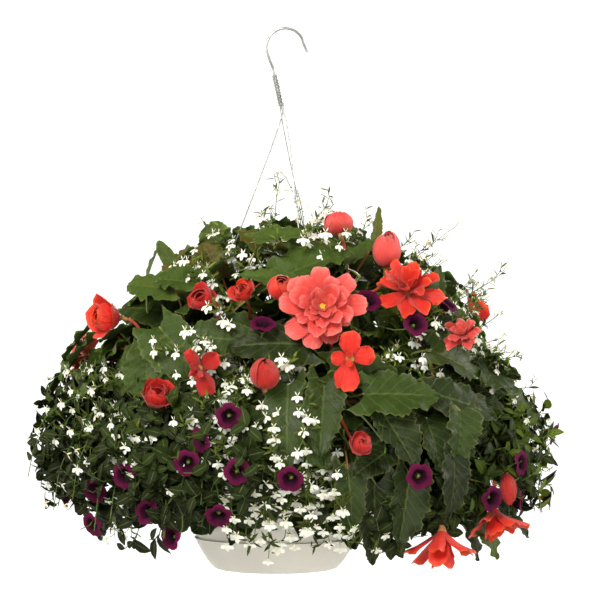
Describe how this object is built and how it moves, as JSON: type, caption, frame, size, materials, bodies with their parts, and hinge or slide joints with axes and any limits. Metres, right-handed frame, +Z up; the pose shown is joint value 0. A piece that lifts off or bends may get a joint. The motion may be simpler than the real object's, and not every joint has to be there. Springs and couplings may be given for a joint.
{
  "type": "flowering hanging basket",
  "caption": "Flowering hanging basket: begonias, calibrachoa and lobelia trailing over a round plastic pot with a saucer, held by three wires and a hook.",
  "frame": {"origin": "centre of the saucer's flat underside", "axes": "+Z up towards the hook, the basket's front faces -Y, +X is to the right seen from the front"},
  "size_m": [0.5978, 0.5706, 0.6056],
  "materials": {
    "pot": "moulded, pale grey",
    "soil": "crumbly, moist",
    "steel": "bright wire",
    "begonia": "soft leaf",
    "coral": "soft petal",
    "orange": "soft petal",
    "red": "soft petal",
    "calibrachoa": "soft leaf",
    "lobelia": "soft leaf and petal"
  },
  "bodies": {
    "root": {"pot": "pot", "saucer": "pot", "soil": "soil", "hook": "steel", "hanger_left": "steel", "hanger_front": "steel", "hanger_back": "steel", "begonia_front_top": "begonia", "begonia_right_top": "begonia", "begonia_front_middle": "begonia", "begonia_left_front": "begonia", "begonia_left_top": "begonia", "begonia_front_low": "begonia", "begonia_left": "begonia", "begonia_right": "begonia", "begonia_right_low": "begonia", "begonia_left_back": "begonia", "begonia_back_left": "begonia", "begonia_back": "begonia", "begonia_back_right": "begonia", "begonia_right_back": "begonia", "bloom_coral_double": "coral", "bloom_coral_half": "coral", "bloom_coral_side": "coral", "bloom_coral_small": "coral", "bloom_coral_west": "coral", "bloom_coral_north": "coral", "bloom_orange_fan": "orange", "bloom_orange_star": "orange", "bloom_orange_back": "orange", "bloom_orange_bell": "orange", "bloom_orange_side": "orange", "bloom_orange_behind": "orange", "bloom_orange_north": "orange", "bloom_orange_east": "orange", "bloom_orange_low_east": "orange", "bloom_red_left": "orange", "bloom_red_cup": "red", "bloom_red_tall": "red", "bloom_red_low": "red", "bud_red": "red", "bud_red_double": "red", "bud_hanging": "red", "bloom_red_northwest": "red", "bloom_red_northeast": "red", "calibrachoa_left": "calibrachoa", "calibrachoa_left_front": "calibrachoa", "calibrachoa_front": "calibrachoa", "calibrachoa_right": "calibrachoa", "calibrachoa_right_top": "calibrachoa", "calibrachoa_back": "calibrachoa", "calibrachoa_back_left": "calibrachoa", "lobelia_front": "lobelia", "lobelia_left": "lobelia", "lobelia_top": "lobelia", "lobelia_right": "lobelia", "lobelia_right_low": "lobelia", "lobelia_back": "lobelia"}
  },
  "joints": []
}
